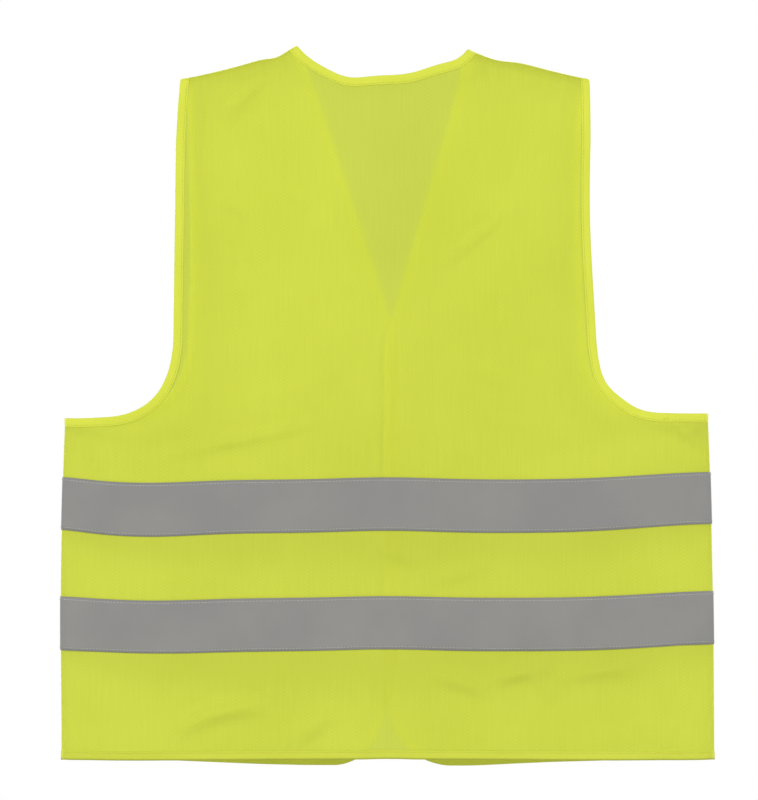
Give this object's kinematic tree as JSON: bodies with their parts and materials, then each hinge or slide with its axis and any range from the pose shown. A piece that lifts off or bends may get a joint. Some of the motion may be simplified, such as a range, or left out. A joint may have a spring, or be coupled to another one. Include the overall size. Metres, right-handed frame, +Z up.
{
  "type": "high visibility vest",
  "caption": "Sleeveless open-front safety vest with bound edges, touch-fastened overlap and reflective tapes round the body; the fronts fold open.",
  "frame": {"origin": "on the centre line, level with the two neck points, midway between front and back, where a hanger or the wearer's shoulders carry the vest", "axes": "+Z up, wearer faces +Y, wearer's left at -X"},
  "size_m": [0.6212, 0.0519, 0.6793],
  "materials": {
    "knit_cloth": "thin fluorescent yellow polyester warp knit, matt",
    "binding_cloth": "folded fluorescent yellow knit binding, matt",
    "reflective_tape": "grey glass bead tape on cloth, satin",
    "hook_tape": "woven nylon with hooks",
    "loop_tape": "woven nylon with brushed loops",
    "label_cloth": "smooth white satin ribbon",
    "thread": "polyester sewing thread"
  },
  "bodies": {
    "body": {"back_panel": "knit_cloth", "left_front_side_panel": "knit_cloth", "right_front_side_panel": "knit_cloth", "left_shoulder_seam": "thread", "right_shoulder_seam": "thread", "back_neck_binding": "binding_cloth", "back_hem_binding": "binding_cloth", "left_front_hem_binding": "binding_cloth", "right_front_hem_binding": "binding_cloth", "left_armhole_binding_front": "binding_cloth", "left_armhole_binding_back": "binding_cloth", "right_armhole_binding_front": "binding_cloth", "right_armhole_binding_back": "binding_cloth", "upper_tape_back": "reflective_tape", "upper_tape_left_side": "reflective_tape", "upper_tape_right_side": "reflective_tape", "lower_tape_back": "reflective_tape", "lower_tape_left_side": "reflective_tape", "lower_tape_right_side": "reflective_tape", "care_label": "label_cloth"},
    "left_front": {"left_front_flap": "knit_cloth", "left_front_edge_binding": "binding_cloth", "upper_tape_left_front": "reflective_tape", "lower_tape_left_front": "reflective_tape", "hook_strip": "hook_tape"},
    "right_front": {"right_front_flap": "knit_cloth", "right_front_edge_binding": "binding_cloth", "upper_tape_right_front": "reflective_tape", "lower_tape_right_front": "reflective_tape", "loop_strip": "loop_tape"}
  },
  "joints": [
    {"name": "left_front_fold", "type": "hinge", "parent": "body", "child": "left_front", "pos_m": [-0.1155, 0.01503, -0.3365], "axis": [0.102, -0.0225, 0.9945], "range_deg": [0, 160]},
    {"name": "right_front_fold", "type": "hinge", "parent": "body", "child": "right_front", "pos_m": [0.1155, 0.01503, -0.3365], "axis": [0.102, 0.0225, -0.9945], "range_deg": [0, 160]}
  ],
  "couplings": [
    {"joint": "right_front_fold", "follows": "left_front_fold", "ratio": 1}
  ]
}
